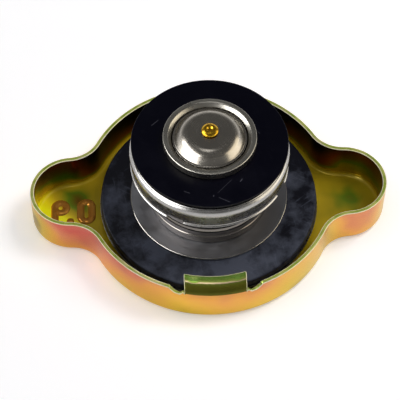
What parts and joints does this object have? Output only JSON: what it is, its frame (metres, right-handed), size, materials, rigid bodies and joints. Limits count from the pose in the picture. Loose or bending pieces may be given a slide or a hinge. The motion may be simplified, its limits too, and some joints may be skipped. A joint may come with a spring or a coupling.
{
  "type": "radiator pressure cap",
  "caption": "Two-eared pressure cap for a radiator neck: pressed steel shell with bent locking tabs, rubber neck gasket, sprung pressure valve and small vacuum valve, lying on its outer face.",
  "frame": {"origin": "on the cap's axis, in the plane of the shell's outer face, which it lies on", "axes": "+X along the two ears, +Y through a locking tab, +Z from the outer face towards the valves"},
  "size_m": [0.09, 0.0636, 0.0351],
  "materials": {
    "yellow_zinc": "pressed steel, zinc plated with iridescent yellow chromate",
    "rivet_steel": "plain headed steel",
    "spring_steel": "drawn or rolled, satin",
    "stainless": "pressed stainless steel, bright satin",
    "brass": "turned brass",
    "gasket_rubber": "moulded rubber, dusty and lightly scuffed",
    "seal_rubber": "moulded rubber, smooth, with fine scratches"
  },
  "bodies": {
    "cover": {"shell": "yellow_zinc"},
    "stack": {"centre_rivet": "rivet_steel", "slip_washer": "spring_steel", "spring_disc": "spring_steel", "neck_gasket": "gasket_rubber", "backing_plate": "stainless", "bell": "stainless", "rivet_washer": "spring_steel", "main_spring": "spring_steel"},
    "pressure_valve": {"valve_cup": "stainless", "pressure_seal": "seal_rubber", "seal_retainer": "stainless", "vacuum_seal": "seal_rubber", "vacuum_spring": "spring_steel"},
    "vacuum_valve": {"vacuum_disc": "stainless", "vacuum_stem": "brass", "spring_keeper": "spring_steel"}
  },
  "joints": [
    {"name": "cover_swivel", "type": "hinge", "parent": "cover", "child": "stack", "pos_m": [0, 0, 0], "axis": [0, 0, 1], "continuous": true},
    {"name": "pressure_slide", "type": "slide", "parent": "stack", "child": "pressure_valve", "axis": [0, 0, -1], "range_m": [0, 0.004], "stiffness_N_per_m": 9000, "deforming": ["main_spring"]},
    {"name": "vacuum_slide", "type": "slide", "parent": "pressure_valve", "child": "vacuum_valve", "axis": [0, 0, 1], "range_m": [0, 0.0018], "stiffness_N_per_m": 400, "deforming": ["vacuum_spring"]}
  ]
}
